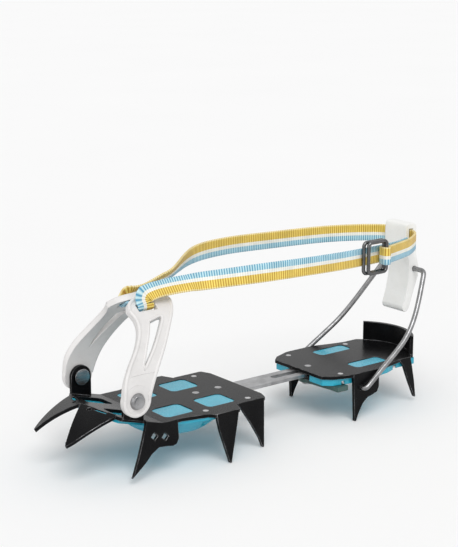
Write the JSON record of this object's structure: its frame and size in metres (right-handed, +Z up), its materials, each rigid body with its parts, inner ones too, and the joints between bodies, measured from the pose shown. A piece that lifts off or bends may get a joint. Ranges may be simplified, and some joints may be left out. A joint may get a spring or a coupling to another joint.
{
  "type": "semi-automatic crampon",
  "caption": "Left-foot crampon with bent steel front and heel sections on a sliding bar, hinged moulded toe arms, wire heel bail with lever, and a buckled webbing strap.",
  "frame": {"origin": "on the ground under the points, at the middle of the length, on the centre line of the frames", "axes": "+X towards the toe, +Y towards the wearer's left, +Z up"},
  "size_m": [0.3313, 0.0987, 0.1389],
  "materials": {
    "black_steel": "gloss",
    "bare_steel": "satin",
    "snow_plate": "gloss",
    "moulded_arm": "matte",
    "webbing": "woven",
    "clamp": "matte",
    "washer": "matte"
  },
  "bodies": {
    "front_section": {"front_frame": "black_steel", "front_antiball_plate": "snow_plate", "front_plate_studs": "bare_steel", "linking_bar": "bare_steel", "bar_rivets": "bare_steel", "toe_rivet_left": "bare_steel", "toe_rivet_right": "bare_steel", "toe_washer_left": "washer", "toe_washer_right": "washer", "strap_left": "webbing", "strap_right": "webbing", "strap_heel": "webbing", "strap_tail": "webbing", "buckle_ring": "bare_steel"},
    "heel_section": {"heel_frame": "black_steel", "heel_antiball_plate": "snow_plate", "heel_plate_studs": "bare_steel", "bar_guide_front": "black_steel", "bar_guide_rear": "black_steel", "clamp_bolt": "bare_steel"},
    "clamp": {"clamp_lever": "clamp"},
    "left_arm": {"toe_arm_left": "moulded_arm", "strap_toe": "webbing"},
    "right_arm": {"toe_arm_right": "moulded_arm"},
    "bail": {"heel_bail": "bare_steel"},
    "lever": {"heel_lever": "moulded_arm", "strap_lever": "webbing"},
    "lock_ring": {"buckle_lock_ring": "bare_steel"}
  },
  "joints": [
    {"name": "length_adjust", "type": "slide", "parent": "front_section", "child": "heel_section", "axis": [1, 0, 0], "range_m": [-0.012, 0.03], "deforming": ["strap_heel", "strap_right"]},
    {"name": "clamp_lever_turn", "type": "hinge", "parent": "heel_section", "child": "clamp", "pos_m": [-0.06, 0, 0.0275], "axis": [0, 0, 1], "range_deg": [-80, 0]},
    {"name": "toe_arm_left_pivot", "type": "hinge", "parent": "front_section", "child": "left_arm", "pos_m": [0.122, 0.0365, 0.056], "axis": [0, 1, 0], "range_deg": [-20, 60], "deforming": ["strap_left", "strap_right"]},
    {"name": "toe_arm_right_pivot", "type": "hinge", "parent": "front_section", "child": "right_arm", "pos_m": [0.122, -0.0365, 0.056], "axis": [0, 1, 0], "range_deg": [-20, 60], "deforming": ["strap_left", "strap_right"]},
    {"name": "heel_bail_pivot", "type": "hinge", "parent": "heel_section", "child": "bail", "pos_m": [-0.0805, 0, 0.025], "axis": [0, 1, 0], "range_deg": [-40, 25], "deforming": ["strap_heel", "strap_right"]},
    {"name": "heel_lever_pivot", "type": "hinge", "parent": "bail", "child": "lever", "pos_m": [-0.159, 0, 0.1005], "axis": [0, 1, 0], "range_deg": [-100, 15], "deforming": ["strap_heel", "strap_right"]},
    {"name": "buckle_lock_tilt", "type": "hinge", "parent": "front_section", "child": "lock_ring", "pos_m": [-0.0945, 0.0463, 0.126], "axis": [0, 0, 1], "range_deg": [0, 75]}
  ],
  "couplings": [
    {"joint": "toe_arm_right_pivot", "follows": "toe_arm_left_pivot", "ratio": 1}
  ]
}
